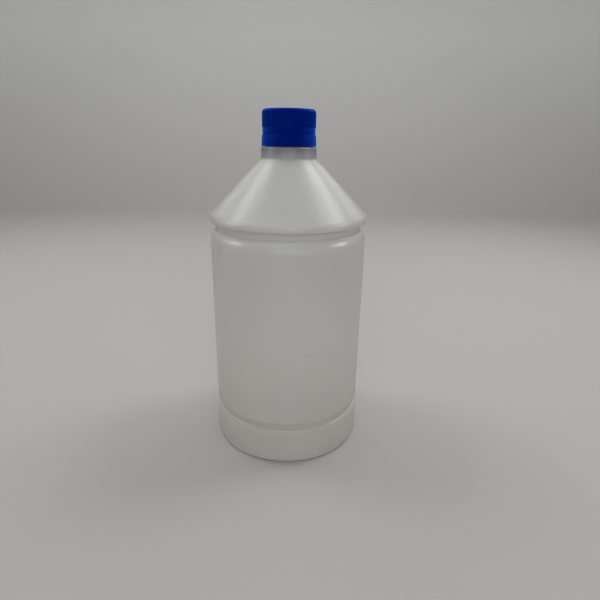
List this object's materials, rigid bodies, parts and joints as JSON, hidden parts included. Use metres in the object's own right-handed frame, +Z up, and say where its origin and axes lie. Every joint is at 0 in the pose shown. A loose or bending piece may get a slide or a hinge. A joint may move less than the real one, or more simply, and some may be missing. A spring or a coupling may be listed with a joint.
{
  "type": "plastic bottle",
  "caption": "Round blow-moulded bottle with a conical shoulder, a grooved rim and waist, and a ribbed tamper-evident screw cap sealed by a foam disc.",
  "frame": {"origin": "centre of the standing ring, on the surface that the bottle stands on", "axes": "+Z up along the bottle's axis; the camera looks along +Y, with +X to its right"},
  "size_m": [0.0946, 0.0946, 0.2048],
  "materials": {
    "natural_plastic": "milky translucent blown polyethylene with a soft satin gloss",
    "cap_plastic": "deep blue moulded polypropylene, smooth with a soft gloss",
    "liner_foam": "white closed-cell foam with a smooth skin"
  },
  "bodies": {
    "bottle": {"bottle": "natural_plastic", "tamper_band": "cap_plastic"},
    "liner": {"cap_liner": "liner_foam"},
    "cap": {"screw_cap": "cap_plastic"}
  },
  "joints": [
    {"name": "liner_lift", "type": "slide", "parent": "bottle", "child": "liner", "axis": [0, 0, 1], "range_m": [0, 0.0056]},
    {"name": "cap_turn", "type": "hinge", "parent": "liner", "child": "cap", "pos_m": [0, 0, 0.2032], "axis": [0, 0, 1], "range_deg": [0, 630]}
  ],
  "couplings": [
    {"joint": "liner_lift", "follows": "cap_turn", "m_per_rad": 0.00050611}
  ]
}
